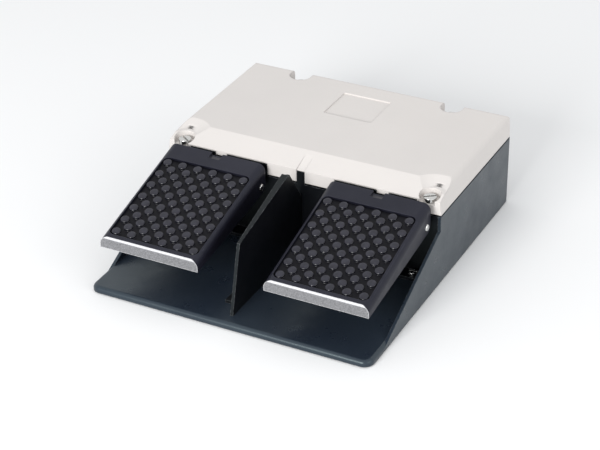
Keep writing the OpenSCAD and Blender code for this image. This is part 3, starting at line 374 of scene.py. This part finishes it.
def tread(side):
    """Mat with 72 round pips in alternating rows of six and five."""
    low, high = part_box("tread_" + side)
    width = high.x - low.x
    pip_r, pip_h, mat_h, margin = 3.8 * MM, 2.0 * MM, 1.0 * MM, 1.0 * MM
    pitch = (width - 2 * (pip_r + margin)) / (PIPS_LONG - 1)
    length = (PIP_ROWS - 1) * pitch / 2 + 2 * (pip_r + margin)
    # the mat's upper front edge gives the box its front, the lower one its underside
    base = Vector(((low.x + high.x) / 2, low.y + length / 2 * math.cos(TILT) + mat_h * math.sin(TILT),
                   low.z + length / 2 * math.sin(TILT)))
    place = Matrix.Translation(base) @ Matrix.Rotation(TILT, 4, "X")
    built = Build()
    under = built.ring([place @ p for p in round_rect(width, length, pip_r + margin, 0)])
    rim = built.ring([place @ p for p in round_rect(width, length, pip_r + margin, mat_h - 0.2 * MM)])
    edge = built.ring([place @ p for p in round_rect(width - 0.4 * MM, length - 0.4 * MM,
                                                    pip_r + margin - 0.2 * MM, mat_h)])
    built.cap(under, True)
    built.strip(under, rim)
    built.strip(rim, edge)
    built.cap(edge)
    mat_faces = len(built.faces)
    foot = 0.5 * MM
    round_r = 1.25 * MM
    # heights run from 0 at a pip's foot to 1 on its top; the pip material turns low values into painted shade.
    profile, heights = [], []
    for i in range(4):
        a = math.radians(90 * i / 3)
        profile.append((pip_r + foot * 0.6 * (1 - math.sin(a)), mat_h + foot * (1 - math.cos(a)) - 0.02 * MM))
        heights.append(0.25 * i / 3)
    for i in range(7):
        a = math.radians(90 * i / 6)
        profile.append((pip_r - round_r + round_r * math.cos(a), mat_h + pip_h - 0.08 * MM - round_r + round_r * math.sin(a)))
        heights.append(0.35 + 0.65 * i / 6)
    for share in (0.66, 0.33, 0.04):
        profile.append(((pip_r - round_r) * share, mat_h + pip_h - 0.08 * MM * share * share))
        heights.append(1.0)
    for row in range(PIP_ROWS):
        count = PIPS_LONG - row % 2
        for i in range(count):
            spot = Matrix.Translation(((i - (count - 1) / 2) * pitch, (row - (PIP_ROWS - 1) / 2) * pitch / 2, 0))
            built.lathe(profile, place @ spot, 28, heights, (False, True))
    made = built.finish("tread_skin_" + side, looks["tread_rubber"], "pedal_" + side, "tread_" + side, "pip_height")
    made.data.materials.append(pips)
    for face in made.data.polygons[mat_faces:]:
        face.material_index = 1
    return made


for side in ("left", "right"):
    tread(side)


# ---------- Floor, light and camera ----------

def flat_material(name, colour, rough):
    made = bpy.data.materials.new(name)
    made.use_nodes = True
    surface = made.node_tree.nodes["Principled BSDF"]
    surface.inputs["Base Color"].default_value = colour
    surface.inputs["Roughness"].default_value = rough
    surface.inputs["Specular IOR Level"].default_value = 0.0
    return made


def white_for_camera(made, seen, plain):
    """The camera and reflections see one colour, light bounces off another."""
    tree = made.node_tree
    path = tree.nodes.new("ShaderNodeLightPath")
    either = tree.nodes.new("ShaderNodeMath")
    either.operation = "MAXIMUM"
    tree.links.new(path.outputs["Is Camera Ray"], either.inputs[0])
    tree.links.new(path.outputs["Is Glossy Ray"], either.inputs[1])
    mix = tree.nodes.new("ShaderNodeMix")
    mix.data_type = "RGBA"
    tree.links.new(either.outputs[0], mix.inputs[0])
    mix.inputs[6].default_value = plain
    mix.inputs[7].default_value = seen
    return mix.outputs[2]


def floor():
    size = 30.0
    mesh = bpy.data.meshes.new("floor")
    corners = [(-size, -size, 0), (size, -size, 0), (size, size, 0), (-size, size, 0)]
    mesh.from_pydata(corners, [], [(0, 1, 2, 3)])
    made = bpy.data.objects.new("floor", mesh)
    paint = flat_material("floor_white", rgb(0.86, 0.86, 0.86), 0.9)
    paint.node_tree.links.new(white_for_camera(paint, rgb(0.97, 0.97, 0.97), rgb(0.84, 0.84, 0.84)),
                              paint.node_tree.nodes["Principled BSDF"].inputs["Base Color"])
    mesh.materials.append(paint)
    bpy.context.scene.collection.objects.link(made)


def softbox(name, place, aim, size, power, colour=(1, 1, 1)):
    data = bpy.data.lights.new(name, "AREA")
    data.shape = "RECTANGLE"
    data.size, data.size_y = size
    data.energy = power
    data.color = colour
    made = bpy.data.objects.new(name, data)
    made.location = place
    made.rotation_mode = "QUATERNION"
    made.rotation_quaternion = (Vector(aim) - Vector(place)).to_track_quat("-Z", "Y")
    bpy.context.scene.collection.objects.link(made)


def world(strength):
    made = bpy.data.worlds.new("surroundings")
    made.use_nodes = True
    background = made.node_tree.nodes["Background"]
    made.node_tree.links.new(
        white_for_camera(made, rgb(1, 1, 1), rgb(0.97 * strength, 0.985 * strength, strength)),
        background.inputs["Color"])
    background.inputs["Strength"].default_value = 1.0
    bpy.context.scene.world = made


def camera():
    azimuth, elevation, roll = (math.radians(v) for v in (27.427, 30.861, -0.808))
    distance = 1.41451
    target = Vector((0.00506, 0.11519, 0.030)) + Vector((0, -0.1365, 0.001))
    back = Vector((math.sin(azimuth) * math.cos(elevation), -math.cos(azimuth) * math.cos(elevation),
                   math.sin(elevation)))
    right = Vector((math.cos(azimuth), math.sin(azimuth), 0))
    up = back.cross(right)
    c, s = math.cos(roll), math.sin(roll)
    x_axis, y_axis = c * right + s * up, c * up - s * right
    turn = Matrix((x_axis, y_axis, back)).transposed().to_4x4()
    data = bpy.data.cameras.new("camera")
    data.sensor_width = 36.0
    data.lens = 107.44
    data.clip_start, data.clip_end = 0.05, 100.0
    made = bpy.data.objects.new("camera", data)
    made.matrix_world = Matrix.Translation(target + distance * back) @ turn
    bpy.context.scene.collection.objects.link(made)
    bpy.context.scene.camera = made


floor()
world(0.74)
softbox("key", (-0.15, -2.05, 0.82), (0, 0, 0.04), (1.0, 0.75), 37)
softbox("side", (1.9, -0.5, 0.9), (0, 0, 0.04), (1.2, 1.2), 7)
camera()
bpy.context.scene.view_settings.view_transform = "Standard"
